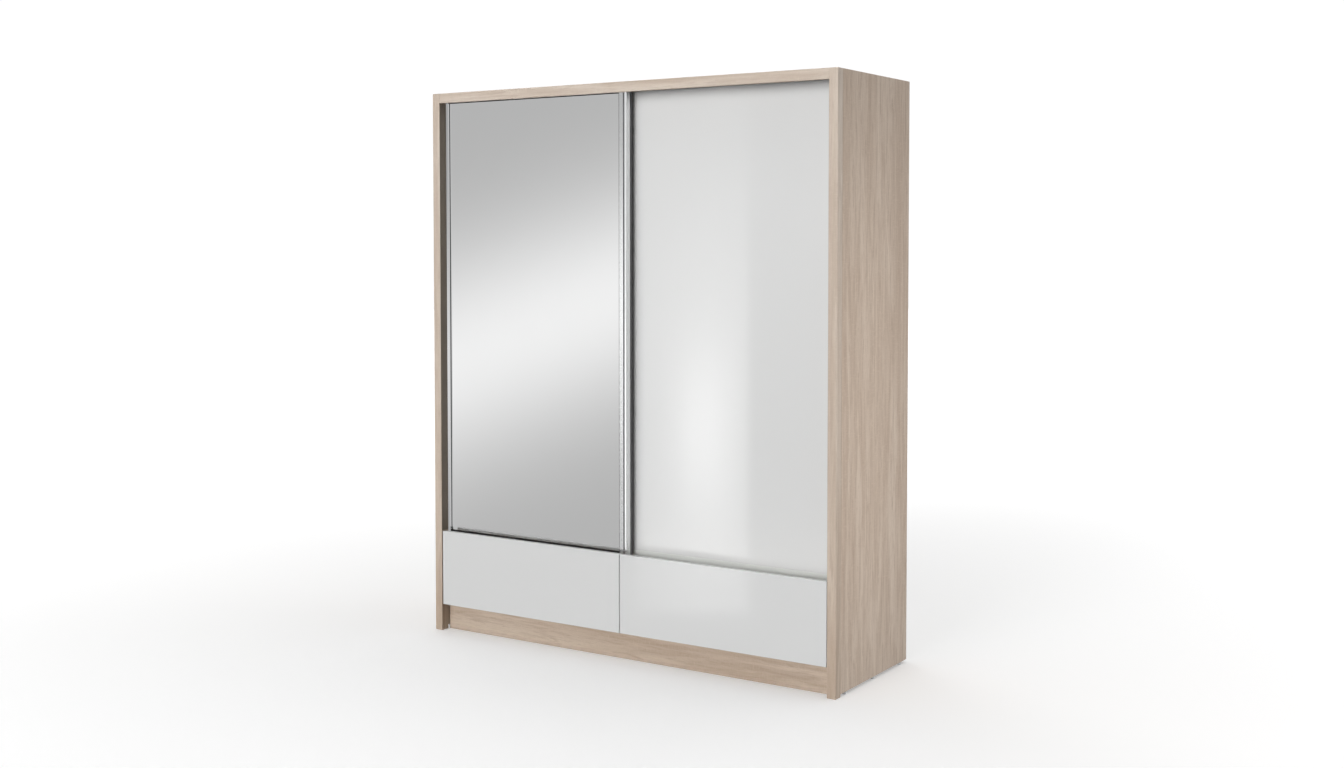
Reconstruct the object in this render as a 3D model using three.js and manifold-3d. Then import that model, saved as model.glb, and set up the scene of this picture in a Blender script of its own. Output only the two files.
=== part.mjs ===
// Sliding door wardrobe: an oak carcass, a mirror door and a white door on a double track, two drawers below.
// Millimetres. +X is to the right of someone facing the doors, +Y goes into the wardrobe, +Z is up.
// Inside the model group y = 0 is the front plane; the group is moved so that the origin is the middle of
// the footprint, on the floor.
import * as THREE from "three";
import { mergeVertices } from "three/addons/utils/BufferGeometryUtils.js";
import { RoundedBoxGeometry } from "three/addons/geometries/RoundedBoxGeometry.js";
import Module from "manifold-3d";

const wasm = await Module();
wasm.setup();

// ---- Driving dimensions ----
const WIDTH = 1800;
const HEIGHT = 2150;
const DEPTH = 580;
const BOARD = 18; // laminated board
const BACK_BOARD = 3; // hardboard back
const EDGE = 1; // eased edge of a board
const JOINT = 0.2; // gap left where two fixed pieces meet

const STRIP_WIDTH = 34;
const STRIP_DEPTH = 37.5;
const SIDE_LIFT = 10; // side panel's lower edge above the floor
const FASCIA_HEIGHT = 38;
const PLINTH_HEIGHT = 102;
const PLINTH_SETBACK = 44;
const PLINTH_BOARD = 16;
const PLINTH_END_GAP = 2; // to the strips' inner faces

const DRAWER_FRONT_HEIGHT = 296;
const DRAWER_FRONT_SETBACK = 3;
const DRAWER_GAP = 3; // around and between the drawer fronts
const DRAWER_LIFT = 4; // drawer front above the plinth
const DRAWER_LENGTH = 478;
const DRAWER_SIDE_HEIGHT = 150;
const DRAWER_SIDE_GAP = 4; // drawer box to strip and to divider
const DRAWER_BOTTOM_BOARD = 12;
const DRAWER_BACK_BOARD = 16;
const STEEL = 1.5; // sheet of the drawer sides and runners
const RUNNER_HEIGHT = 30;
const RUNNER_LIFT = 16; // above the base panel
const RUNNER_LIP = 4;
const RUNNER_CLEARANCE = 2.5; // under the drawer side
const RUNNER_BEARING = 12; // how far the runner's arm reaches under the drawer side

const DECK_DROP = 30; // deck's top below the drawer fronts' top
const TRACK_BASE = 2;
const TRACK_OVERHANG = 19; // track base beyond the outer ridges
const RIDGE_WIDTH = 3;
const RIDGE_HEIGHT = 3;
const DOOR_SPACING = 43; // front door's running plane to the rear door's
const RUNNING_PLANE = 68; // front door's wheels behind the front plane
const TOP_TRACK_HEIGHT = 8;
const TOP_TRACK_SLOT = 9;
const TOP_TRACK_WALL = 1.5;

const WHEEL_RADIUS = 11; // to the bottom of the groove
const WHEEL_FLANGE = 1.5;
const WHEEL_WIDTH = 8;
const WHEEL_GROOVE = 4.6;
const AXLE_RADIUS = 2.3;
const WHEEL_BORE = 2.7;
const ROLL_GAP = 0.3; // wheel to ridge
const WHEEL_INSET = 110; // wheel centre from the door's edge
const CARRIER_WALL = 1.6;
const CARRIER_GAP = 0.4; // cheek to wheel
const CARRIER_HALF_LENGTH = 17;

const DOOR_SIDE_GAP = 9;
const DOOR_OVERLAP = 10;
const DOOR_HEAD_GAP = 1.5; // door to top track
const DOOR_FOOT_GAP = 8; // door to ridge
const SECTION_WALL = 1.8; // aluminium sections
const RAIL_HEADROOM = 1.4; // wheel flange to the bottom rail's web
const TOP_RAIL_HEIGHT = 10;
const PANEL_GAP = 0.3; // door panel in its aluminium sections
const MIRROR = 4;
const MIRROR_BACKING = 16;
const MIRROR_RECESS = 8; // glass behind the front of its profiles
const MIRROR_LAP = 3; // glass over the front of the black rails
const EDGE_PROFILE_WIDTH = 12.3;
const HANDLE_PROFILE_WIDTH = 35;
const FLANGE_WIDTH = 17.5;
const FINGER_GROOVE_WIDTH = 4.5;
const FINGER_GROOVE_DEPTH = 5;
const RIDGE_BULGE = 2; // grip ridge in front of the profile's plane
const GRIP_DEPTH = 20; // grip's side, from the profile's plane
const GRIP_WIDTH = 9; // grip beyond the profile's back part
const SEAL_THICKNESS = 3;
const SEAL_DEPTH = 26;
const WHITE_PROFILE_PROUD = 2;
const WHITE_BULGE = 3;
const GUIDE_BASE = 1.5;
const GUIDE_LENGTH = 60;
const GUIDE_BLADE = 6;
const GUIDE_BLADE_LENGTH = 40;
const GUIDE_ENGAGEMENT = 4.5; // blade's reach into the top track
const GUIDE_INSET = 90;

const INTERIOR_SETBACK = 12; // shelves and divider behind the rear door
const HAT_SHELF_DROP = 330; // hat shelf's top below the top panel
const ROD_RADIUS = 12.5;
const ROD_WALL = 1.2;
const ROD_DROP = 55; // rod centre below the hat shelf
const HOLDER_RADIUS = 22;
const HOLDER_PLATE = 4;
const HOLDER_COLLAR = 14;
const HOLDER_WALL = 3;
const ROD_CLEARANCE = 0.4;
const SHELF_COUNT = 3;

// ---- Levels, planes and widths worked out from them ----
const innerHalf = WIDTH / 2 - BOARD; // side panels' inner faces
const stripInner = WIDTH / 2 - STRIP_WIDTH;
const carcassBack = DEPTH - BACK_BOARD;
const topUnder = HEIGHT - BOARD;
const drawerFrontBottom = PLINTH_HEIGHT + DRAWER_LIFT;
const drawerFrontTop = drawerFrontBottom + DRAWER_FRONT_HEIGHT;
const drawerFrontBack = DRAWER_FRONT_SETBACK + BOARD;
const deckTop = drawerFrontTop - DECK_DROP;
const ridgeTop = deckTop + TRACK_BASE + RIDGE_HEIGHT;
const flangeRadius = WHEEL_RADIUS + WHEEL_FLANGE;
const wheelHeight = ridgeTop + ROLL_GAP + WHEEL_RADIUS;
const doorBottom = ridgeTop + DOOR_FOOT_GAP;
const railTop = wheelHeight + flangeRadius + RAIL_HEADROOM + SECTION_WALL;
const panelBottom = railTop + PANEL_GAP;
const topTrackUnder = topUnder - TOP_TRACK_HEIGHT;
const doorTop = topTrackUnder - DOOR_HEAD_GAP;
const doorWidth = innerHalf - DOOR_SIDE_GAP + DOOR_OVERLAP / 2;
const mirrorDoorLeft = -(innerHalf - DOOR_SIDE_GAP);
const whiteDoorLeft = mirrorDoorLeft + 2 * (innerHalf - DOOR_SIDE_GAP) - doorWidth;
const rearPlane = RUNNING_PLANE + DOOR_SPACING;
const backingFront = RUNNING_PLANE - MIRROR_BACKING / 2;
const glassFront = backingFront - MIRROR;
const mirrorProfileFront = glassFront - MIRROR_RECESS;
const mirrorProfileDepth = MIRROR_RECESS + MIRROR + MIRROR_BACKING + PANEL_GAP + SECTION_WALL;
const whiteFront = rearPlane - BOARD / 2;
const interiorFront = whiteFront + BOARD + INTERIOR_SETBACK;
const hatShelfTop = topUnder - HAT_SHELF_DROP;

// ---- Finishes: colour, roughness, metalness ----
const finish = (color, roughness, metalness = 0) => () =>
  new THREE.MeshStandardMaterial({ color, roughness, metalness });
const oak = finish(0xc2b4a4, 0.55);
const oakInside = finish(0xbcae9e, 0.6);
const whiteGloss = finish(0xeef0ef, 0.06);
const whiteBoard = finish(0xe9e9e6, 0.5);
const hardboard = finish(0xdedbd4, 0.7);
const mirrorGlass = finish(0xe6eaea, 0.02, 1);
const aluminium = finish(0xc9cbcc, 0.28, 1);
const paleRail = finish(0xc9cac5, 0.35, 0.1);
const blackRail = finish(0x17191a, 0.4, 0.2);
const blackRubber = finish(0x1b1b1c, 0.8);
const greyNylon = finish(0x6f7375, 0.5);
const whiteSteel = finish(0xdfe1e2, 0.4, 0.3);
const zincSteel = finish(0xa9adb0, 0.4, 0.9);
const chrome = finish(0xd6d9dc, 0.1, 1);

// ---- Building helpers ----
function piece(group, name, geometry, material) {
  const mesh = new THREE.Mesh(geometry, material());
  mesh.name = name;
  group.add(mesh);
  return mesh;
}

// A board with eased edges that fills the box between two opposite corners.
function board(group, name, material, low, high, radius = EDGE) {
  const size = low.map((value, i) => high[i] - value);
  const geometry = new RoundedBoxGeometry(...size, 1, Math.min(radius, Math.min(...size) / 3));
  const mesh = piece(group, name, geometry, material);
  mesh.position.set(...low.map((value, i) => (value + high[i]) / 2));
  return mesh;
}

function shapeOf(outline) {
  return outline instanceof THREE.Shape
    ? outline
    : new THREE.Shape(outline.map(([a, b]) => new THREE.Vector2(a, b)));
}

// Prisms of an outline. The outline is in (x, y), (x, z) or (y, z); the prism runs along the third axis.
function alongZ(outline, z0, z1) {
  const geometry = new THREE.ExtrudeGeometry(shapeOf(outline), { depth: z1 - z0, bevelEnabled: false });
  return geometry.translate(0, 0, z0);
}
// The same, upright, with eased edges all round.
function easedAlongZ(outline, z0, z1) {
  const geometry = new THREE.ExtrudeGeometry(shapeOf(outline), {
    depth: z1 - z0 - 2 * EDGE,
    bevelThickness: EDGE,
    bevelSize: EDGE,
    bevelOffset: -EDGE,
    bevelSegments: 1,
  });
  return geometry.translate(0, 0, z0 + EDGE);
}
function alongY(outline, y0, y1) {
  const geometry = new THREE.ExtrudeGeometry(shapeOf(outline), { depth: y1 - y0, bevelEnabled: false });
  return geometry.rotateX(Math.PI / 2).translate(0, y1, 0);
}
function alongX(outline, x0, x1) {
  const geometry = new THREE.ExtrudeGeometry(shapeOf(outline), { depth: x1 - x0, bevelEnabled: false });
  const turn = new THREE.Matrix4().makeBasis(
    new THREE.Vector3(0, 1, 0),
    new THREE.Vector3(0, 0, 1),
    new THREE.Vector3(1, 0, 0),
  );
  return geometry.applyMatrix4(turn).translate(x0, 0, 0);
}

function boxBetween([x0, y0, z0], [x1, y1, z1]) {
  return new THREE.BoxGeometry(x1 - x0, y1 - y0, z1 - z0).translate(
    (x0 + x1) / 2,
    (y0 + y1) / 2,
    (z0 + z1) / 2,
  );
}

function solidOf(geometry) {
  const bare = geometry.clone();
  bare.deleteAttribute("normal");
  bare.deleteAttribute("uv");
  const merged = mergeVertices(bare, 1e-4);
  return new wasm.Manifold(
    new wasm.Mesh({
      numProp: 3,
      vertProperties: new Float32Array(merged.attributes.position.array),
      triVerts: new Uint32Array(merged.index.array),
    }),
  );
}

function joined(...geometries) {
  const whole = geometries.map(solidOf).reduce((sum, next) => sum.add(next));
  const mesh = whole.getMesh();
  const geometry = new THREE.BufferGeometry();
  geometry.setAttribute("position", new THREE.BufferAttribute(mesh.vertProperties, 3));
  geometry.setIndex(new THREE.BufferAttribute(mesh.triVerts, 1));
  const flat = geometry.toNonIndexed();
  flat.computeVertexNormals();
  return flat;
}

// A closed ring section (radius, height) turned about an axis that is then laid along Y or X.
function turned(profile, segments, axis) {
  const points = [...profile, profile[0]].map(([r, h]) => new THREE.Vector2(r, h));
  const geometry = new THREE.LatheGeometry(points, segments);
  return axis === "x" ? geometry.rotateZ(-Math.PI / 2) : geometry;
}

// ---- Carcass ----
const model = new THREE.Group();
model.position.y = -DEPTH / 2;

const carcass = new THREE.Group();
model.add(carcass);

const SIDES = [
  ["left", -1],
  ["right", 1],
];

// Box corners for a piece mirrored to either side of the middle plane.
function sided(sign, xNear, xFar, y0, y1, z0, z1) {
  const xs = [sign * xNear, sign * xFar].sort((a, b) => a - b);
  return [
    [xs[0], y0, z0],
    [xs[1], y1, z1],
  ];
}

for (const [side, sign] of SIDES) {
  const panel = sided(
    sign,
    innerHalf,
    WIDTH / 2,
    STRIP_DEPTH + JOINT,
    carcassBack - JOINT,
    SIDE_LIFT,
    HEIGHT,
  );
  board(carcass, `${side}_side_panel`, oak, ...panel);
  const strip = sided(sign, stripInner, WIDTH / 2, 0, STRIP_DEPTH, 0, HEIGHT);
  board(carcass, `${side}_front_strip`, oak, ...strip);
}

const betweenSides = innerHalf - JOINT;
board(
  carcass,
  "fascia",
  oak,
  [-(stripInner - JOINT), 0, HEIGHT - FASCIA_HEIGHT],
  [stripInner - JOINT, BOARD, HEIGHT],
);

// A full-width board between the side panels whose nose reaches forward between the strips.
function nosedOutline(noseFront) {
  const nose = stripInner - JOINT;
  const shoulder = STRIP_DEPTH + JOINT;
  const back = carcassBack - JOINT;
  return [
    [-nose, noseFront],
    [nose, noseFront],
    [nose, shoulder],
    [betweenSides, shoulder],
    [betweenSides, back],
    [-betweenSides, back],
    [-betweenSides, shoulder],
    [-nose, shoulder],
  ];
}
const topPanel = easedAlongZ(nosedOutline(BOARD + JOINT), topUnder, HEIGHT);
piece(carcass, "top_panel", topPanel, oakInside);
const deckFront = drawerFrontBack + DRAWER_GAP;
const deckPanel = easedAlongZ(nosedOutline(deckFront), deckTop - BOARD, deckTop);
piece(carcass, "deck_panel", deckPanel, oakInside);

const baseFront = PLINTH_SETBACK + PLINTH_BOARD + JOINT;
const baseUnder = PLINTH_HEIGHT - BOARD;
board(
  carcass,
  "base_panel",
  oakInside,
  [-betweenSides, baseFront, baseUnder],
  [betweenSides, carcassBack - JOINT, PLINTH_HEIGHT],
);
const plinthHalf = stripInner - PLINTH_END_GAP;
board(
  carcass,
  "front_plinth",
  oak,
  [-plinthHalf, PLINTH_SETBACK, 0],
  [plinthHalf, PLINTH_SETBACK + PLINTH_BOARD, PLINTH_HEIGHT],
);
const rearPlinthFront = carcassBack - JOINT - PLINTH_BOARD;
board(
  carcass,
  "rear_plinth",
  oakInside,
  [-betweenSides, rearPlinthFront, 0],
  [betweenSides, carcassBack - JOINT, baseUnder - JOINT],
);
board(
  carcass,
  "base_rib",
  oakInside,
  [-PLINTH_BOARD / 2, baseFront, 0],
  [PLINTH_BOARD / 2, rearPlinthFront - JOINT, baseUnder - JOINT],
);

const dividerHalf = BOARD / 2;
board(
  carcass,
  "drawer_divider",
  oakInside,
  [-dividerHalf, deckFront, PLINTH_HEIGHT + JOINT],
  [dividerHalf, carcassBack - JOINT, deckTop - BOARD - JOINT],
);
board(
  carcass,
  "centre_divider",
  oakInside,
  [-dividerHalf, interiorFront, deckTop + JOINT],
  [dividerHalf, carcassBack - JOINT, topUnder - JOINT],
);
for (const [side, sign] of SIDES) {
  const back = sided(sign, JOINT, WIDTH / 2 - EDGE, carcassBack, DEPTH, SIDE_LIFT, HEIGHT - EDGE);
  board(carcass, `back_panel_${side}`, hardboard, ...back, EDGE / 2);
}

// ---- Interior fittings ----
board(
  carcass,
  "hat_shelf",
  oakInside,
  [-betweenSides, interiorFront, hatShelfTop - BOARD],
  [-(dividerHalf + JOINT), carcassBack - JOINT, hatShelfTop],
);
const shelfPitch = (topUnder - deckTop) / (SHELF_COUNT + 1);
for (let i = 1; i <= SHELF_COUNT; i += 1) {
  const height = deckTop + i * shelfPitch;
  board(
    carcass,
    `shelf_${i}`,
    oakInside,
    [dividerHalf + JOINT, interiorFront, height - dividerHalf],
    [betweenSides, carcassBack - JOINT, height + dividerHalf],
  );
}

const rodDepth = (interiorFront + carcassBack) / 2;
const rodHeight = hatShelfTop - BOARD - ROD_DROP;
const rodEnds = [-(innerHalf - HOLDER_PLATE - JOINT), -(dividerHalf + HOLDER_PLATE + JOINT)];
const rodHalf = (rodEnds[1] - rodEnds[0]) / 2 - ROD_CLEARANCE;
const rodSection = [
  [ROD_RADIUS - ROD_WALL, -rodHalf],
  [ROD_RADIUS, -rodHalf],
  [ROD_RADIUS, rodHalf],
  [ROD_RADIUS - ROD_WALL, rodHalf],
];
piece(carcass, "hanging_rod", turned(rodSection, 40, "x"), chrome).position.set(
  (rodEnds[0] + rodEnds[1]) / 2,
  rodDepth,
  rodHeight,
);
// A wall plate with a collar that the rod's end sits in.
const collarInner = ROD_RADIUS + ROD_CLEARANCE;
const holderSection = [
  [0, -HOLDER_PLATE],
  [HOLDER_RADIUS, -HOLDER_PLATE],
  [HOLDER_RADIUS, -1],
  [HOLDER_RADIUS - 1, 0],
  [collarInner + HOLDER_WALL, 0],
  [collarInner + HOLDER_WALL, HOLDER_COLLAR],
  [collarInner, HOLDER_COLLAR],
  [collarInner, 0],
  [0, 0],
];
for (const [end, x, flip] of [
  ["left", rodEnds[0], 0],
  ["right", rodEnds[1], Math.PI],
]) {
  const points = holderSection.map(([r, h]) => new THREE.Vector2(r, h));
  const holder = new THREE.LatheGeometry(points, 40).rotateZ(-Math.PI / 2);
  const mesh = piece(carcass, `rod_holder_${end}`, holder, chrome);
  mesh.position.set(x, rodDepth, rodHeight);
  mesh.rotation.z = flip;
}

// ---- Tracks ----
const trackFront = RUNNING_PLANE - TRACK_OVERHANG;
const trackBack = rearPlane + TRACK_OVERHANG;
const planes = [RUNNING_PLANE, rearPlane];

function bottomTrackOutline() {
  const shape = new THREE.Shape();
  const baseTop = deckTop + TRACK_BASE;
  const crown = RIDGE_WIDTH / 2;
  shape.moveTo(trackFront, deckTop + JOINT);
  shape.lineTo(trackBack, deckTop + JOINT);
  shape.lineTo(trackBack, baseTop);
  for (const plane of [...planes].reverse()) {
    shape.lineTo(plane + crown, baseTop);
    shape.lineTo(plane + crown, ridgeTop - crown);
    shape.absarc(plane, ridgeTop - crown, crown, 0, Math.PI, false);
    shape.lineTo(plane - crown, baseTop);
  }
  shape.lineTo(trackFront, baseTop);
  return shape;
}
piece(carcass, "bottom_track", alongX(bottomTrackOutline(), -betweenSides, betweenSides), aluminium);

function topTrackOutline() {
  const outline = [
    [trackBack, topUnder - JOINT],
    [trackFront, topUnder - JOINT],
  ];
  const web = topUnder - TRACK_BASE;
  for (const plane of planes) {
    for (const [a, b] of [
      [-TOP_TRACK_SLOT / 2 - TOP_TRACK_WALL, -TOP_TRACK_SLOT / 2],
      [TOP_TRACK_SLOT / 2, TOP_TRACK_SLOT / 2 + TOP_TRACK_WALL],
    ]) {
      outline.push([plane + a, web], [plane + a, topTrackUnder]);
      outline.push([plane + b, topTrackUnder], [plane + b, web]);
    }
  }
  outline.splice(2, 0, [trackFront, web]);
  outline.push([trackBack, web]);
  return outline;
}
piece(carcass, "top_track", alongX(topTrackOutline().reverse(), -betweenSides, betweenSides), aluminium);

// ---- Door hardware ----
// A flanged wheel with a groove that runs on the ridge; its axis lies along Y.
function wheelGeometry() {
  const half = WHEEL_WIDTH / 2;
  const groove = WHEEL_GROOVE / 2;
  const profile = [
    [WHEEL_BORE, -half],
    [flangeRadius - 0.6, -half],
    [flangeRadius, -half + 0.6],
    [flangeRadius, -groove],
    [WHEEL_RADIUS, -groove + 0.4],
    [WHEEL_RADIUS, groove - 0.4],
    [flangeRadius, groove],
    [flangeRadius, half - 0.6],
    [flangeRadius - 0.6, half],
    [WHEEL_BORE, half],
  ];
  return turned(profile, 36, "y");
}

// Two cheeks and a bridge around the wheel, with the axle through it, at the wheel's centre.
function carrierGeometry() {
  const inner = WHEEL_WIDTH / 2 + CARRIER_GAP;
  const outer = inner + CARRIER_WALL;
  const foot = doorBottom - wheelHeight + 1;
  const head = railTop - SECTION_WALL - JOINT - wheelHeight;
  const bridge = head - 1;
  const axle = new THREE.CylinderGeometry(AXLE_RADIUS, AXLE_RADIUS, 2 * inner + CARRIER_WALL, 20);
  return joined(
    boxBetween([-CARRIER_HALF_LENGTH, -outer, foot], [CARRIER_HALF_LENGTH, -inner, head]),
    boxBetween([-CARRIER_HALF_LENGTH, inner, foot], [CARRIER_HALF_LENGTH, outer, head]),
    boxBetween([-CARRIER_HALF_LENGTH, -outer, bridge], [CARRIER_HALF_LENGTH, outer, head]),
    axle,
  );
}

// A plate on the door's head with a blade that runs in the top track's slot.
function guideGeometry(seat) {
  const base = GUIDE_LENGTH / 2;
  const blade = GUIDE_BLADE_LENGTH / 2;
  const tip = topTrackUnder + GUIDE_ENGAGEMENT;
  return joined(
    boxBetween([-base, -GUIDE_BLADE, seat], [base, GUIDE_BLADE, seat + GUIDE_BASE]),
    boxBetween([-blade, -GUIDE_BLADE / 2, seat], [blade, GUIDE_BLADE / 2, tip]),
  );
}

// Wheels, their carriers and the guides of one door, near its two edges.
function addDoorHardware(door, prefix, left, plane, guideSeat) {
  const ends = [
    ["left", left, 1],
    ["right", left + doorWidth, -1],
  ];
  for (const [end, edge, inward] of ends) {
    const x = edge + inward * WHEEL_INSET;
    piece(door, `${prefix}_wheel_${end}`, wheelGeometry(), greyNylon).position.set(x, plane, wheelHeight);
    const carrier = piece(door, `${prefix}_roller_carrier_${end}`, carrierGeometry(), zincSteel);
    carrier.position.set(x, plane, wheelHeight);
    const guide = piece(door, `${prefix}_top_guide_${end}`, guideGeometry(guideSeat), greyNylon);
    guide.position.set(edge + inward * GUIDE_INSET, plane, 0);
  }
}

// A channel whose open side faces down (opening = -1) or up (opening = 1).
function railOutline(front, back, z0, z1, opening) {
  const mouth = opening > 0 ? z1 : z0;
  const web = opening > 0 ? z0 : z1;
  const floor = web + opening * SECTION_WALL;
  const outline = [
    [front, mouth],
    [front, web],
    [back, web],
    [back, mouth],
    [back - SECTION_WALL, mouth],
    [back - SECTION_WALL, floor],
    [front + SECTION_WALL, floor],
    [front + SECTION_WALL, mouth],
  ];
  return opening > 0 ? outline : outline.reverse();
}

// ---- Mirror door, on the front track ----
const mirrorDoor = new THREE.Group();
model.add(mirrorDoor);
const mirrorDoorRight = mirrorDoorLeft + doorWidth;
const slotBack = RUNNING_PLANE + MIRROR_BACKING / 2 + PANEL_GAP;
const profileBack = mirrorProfileFront + mirrorProfileDepth;

// Slim section that caps the left edge: a front lip turned back to the glass, a side wall and a back lip.
function edgeProfileOutline() {
  const left = mirrorDoorLeft;
  const lip = left + EDGE_PROFILE_WIDTH;
  const front = mirrorProfileFront;
  return [
    [left, front],
    [lip, front],
    [lip, glassFront - PANEL_GAP],
    [lip - SECTION_WALL, glassFront - PANEL_GAP],
    [lip - SECTION_WALL, front + SECTION_WALL],
    [left + SECTION_WALL, front + SECTION_WALL],
    [left + SECTION_WALL, slotBack],
    [lip, slotBack],
    [lip, profileBack],
    [left, profileBack],
  ];
}
piece(
  mirrorDoor,
  "mirror_door_edge_profile",
  alongZ(edgeProfileOutline(), doorBottom, doorTop),
  aluminium,
);

// Handle section: flange, finger groove, rounded grip ridge, and a narrower back part that holds the panel.
function handleProfileOutline() {
  const right = mirrorDoorRight;
  const front = mirrorProfileFront;
  const wall = SECTION_WALL;
  const left = right - HANDLE_PROFILE_WIDTH;
  const grooveLeft = left + FLANGE_WIDTH;
  const grooveRight = grooveLeft + FINGER_GROOVE_WIDTH;
  const grooveFloor = front + FINGER_GROOVE_DEPTH;
  const ridgeMiddle = (grooveRight + right) / 2;
  const shoulder = front + RIDGE_BULGE;
  const backRight = right - GRIP_WIDTH;
  const shape = new THREE.Shape();
  shape.moveTo(left, front);
  shape.lineTo(grooveLeft, front);
  shape.lineTo(grooveLeft, grooveFloor);
  shape.lineTo(grooveRight, grooveFloor);
  shape.lineTo(grooveRight, shoulder);
  shape.quadraticCurveTo(grooveRight, front - RIDGE_BULGE, ridgeMiddle, front - RIDGE_BULGE);
  shape.quadraticCurveTo(right, front - RIDGE_BULGE, right, shoulder);
  shape.lineTo(right, front + GRIP_DEPTH);
  shape.lineTo(backRight, front + GRIP_DEPTH);
  shape.lineTo(backRight, profileBack);
  shape.lineTo(left, profileBack);
  shape.lineTo(left, slotBack);
  shape.lineTo(backRight - wall, slotBack);
  shape.lineTo(backRight - wall, front + GRIP_DEPTH - wall);
  shape.lineTo(right - wall, front + GRIP_DEPTH - wall);
  shape.lineTo(right - wall, shoulder + wall);
  shape.lineTo(grooveRight + wall, shoulder + wall);
  shape.lineTo(grooveRight + wall, grooveFloor + wall);
  shape.lineTo(grooveLeft - wall, grooveFloor + wall);
  shape.lineTo(grooveLeft - wall, front + wall);
  shape.lineTo(left + wall, front + wall);
  shape.lineTo(left + wall, glassFront - PANEL_GAP);
  shape.lineTo(left, glassFront - PANEL_GAP);
  return shape;
}
piece(
  mirrorDoor,
  "mirror_door_handle_profile",
  alongZ(handleProfileOutline(), doorBottom, doorTop),
  aluminium,
);

const panelLeft = mirrorDoorLeft + SECTION_WALL + PANEL_GAP;
const panelRight = mirrorDoorRight - GRIP_WIDTH - SECTION_WALL - PANEL_GAP;
const mirrorPanelTop = doorTop - TOP_RAIL_HEIGHT - PANEL_GAP;
board(
  mirrorDoor,
  "mirror_glass",
  mirrorGlass,
  [panelLeft, glassFront, panelBottom - MIRROR_LAP],
  [panelRight, backingFront - JOINT, mirrorPanelTop + MIRROR_LAP],
  EDGE / 2,
);
board(
  mirrorDoor,
  "mirror_backing_board",
  whiteBoard,
  [panelLeft, backingFront, panelBottom],
  [panelRight, backingFront + MIRROR_BACKING, mirrorPanelTop],
  EDGE / 2,
);

const railLeft = mirrorDoorLeft + EDGE_PROFILE_WIDTH + PANEL_GAP;
const railRight = mirrorDoorRight - HANDLE_PROFILE_WIDTH - PANEL_GAP;
const railFront = backingFront;
const railBack = backingFront + MIRROR_BACKING;
piece(
  mirrorDoor,
  "mirror_door_bottom_rail",
  alongX(railOutline(railFront, railBack, doorBottom, railTop, -1), railLeft, railRight),
  blackRail,
);
const topRailUnder = doorTop - TOP_RAIL_HEIGHT;
piece(
  mirrorDoor,
  "mirror_door_top_rail",
  alongX(railOutline(railFront, railBack, topRailUnder, doorTop, 1), railLeft, railRight),
  blackRail,
);
const sealLeft = mirrorDoorRight - GRIP_WIDTH + JOINT;
const sealFront = mirrorProfileFront + GRIP_DEPTH + JOINT;
board(
  mirrorDoor,
  "mirror_door_dust_seal",
  blackRubber,
  [sealLeft, sealFront, doorBottom],
  [sealLeft + SEAL_THICKNESS, sealFront + SEAL_DEPTH, doorTop],
  EDGE / 2,
);
addDoorHardware(
  mirrorDoor,
  "mirror_door",
  mirrorDoorLeft,
  RUNNING_PLANE,
  topRailUnder + SECTION_WALL + JOINT,
);

// ---- White door, on the rear track ----
const whiteDoor = new THREE.Group();
model.add(whiteDoor);
const whiteDoorRight = whiteDoorLeft + doorWidth;
const whiteProfileFront = whiteFront - WHITE_PROFILE_PROUD;
const whiteProfileBack = whiteFront + BOARD + PANEL_GAP + SECTION_WALL;

// Section that caps the right edge, with a rounded pull along its front corner.
function pullProfileOutline() {
  const right = whiteDoorRight;
  const left = right - HANDLE_PROFILE_WIDTH;
  const front = whiteProfileFront;
  const pull = right - GRIP_WIDTH;
  const shape = new THREE.Shape();
  shape.moveTo(left, front);
  shape.lineTo(pull, front);
  shape.quadraticCurveTo(pull, front - WHITE_BULGE, (pull + right) / 2, front - WHITE_BULGE);
  shape.quadraticCurveTo(right, front - WHITE_BULGE, right, front);
  shape.lineTo(right, whiteProfileBack);
  shape.lineTo(left, whiteProfileBack);
  shape.lineTo(left, whiteFront + BOARD + PANEL_GAP);
  shape.lineTo(right - SECTION_WALL, whiteFront + BOARD + PANEL_GAP);
  shape.lineTo(right - SECTION_WALL, whiteFront - PANEL_GAP);
  shape.lineTo(left, whiteFront - PANEL_GAP);
  return shape;
}
piece(
  whiteDoor,
  "white_door_handle_profile",
  alongZ(pullProfileOutline(), doorBottom, doorTop),
  aluminium,
);
const whitePanelTop = doorTop - GUIDE_BASE;
board(
  whiteDoor,
  "white_door_board",
  whiteGloss,
  [whiteDoorLeft, whiteFront, panelBottom],
  [whiteDoorRight - SECTION_WALL - PANEL_GAP, whiteFront + BOARD, whitePanelTop],
);
piece(
  whiteDoor,
  "white_door_bottom_rail",
  alongX(
    railOutline(whiteFront, whiteFront + BOARD, doorBottom, railTop, -1),
    whiteDoorLeft,
    whiteDoorRight - HANDLE_PROFILE_WIDTH - PANEL_GAP,
  ),
  paleRail,
);
addDoorHardware(whiteDoor, "white_door", whiteDoorLeft, rearPlane, whitePanelTop + JOINT);

// ---- Drawers ----
const drawerFloor = PLINTH_HEIGHT + RUNNER_LIFT;
const sideBottom = drawerFloor + STEEL + RUNNER_LIP + RUNNER_CLEARANCE;
const sideTop = sideBottom + DRAWER_SIDE_HEIGHT;
const flange = 16; // ledge of a drawer side, under the bottom board
const hem = 6; // turned-in top edge of a drawer side
const boxFront = drawerFrontBack + JOINT;
const boxBack = boxFront + DRAWER_LENGTH;

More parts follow.
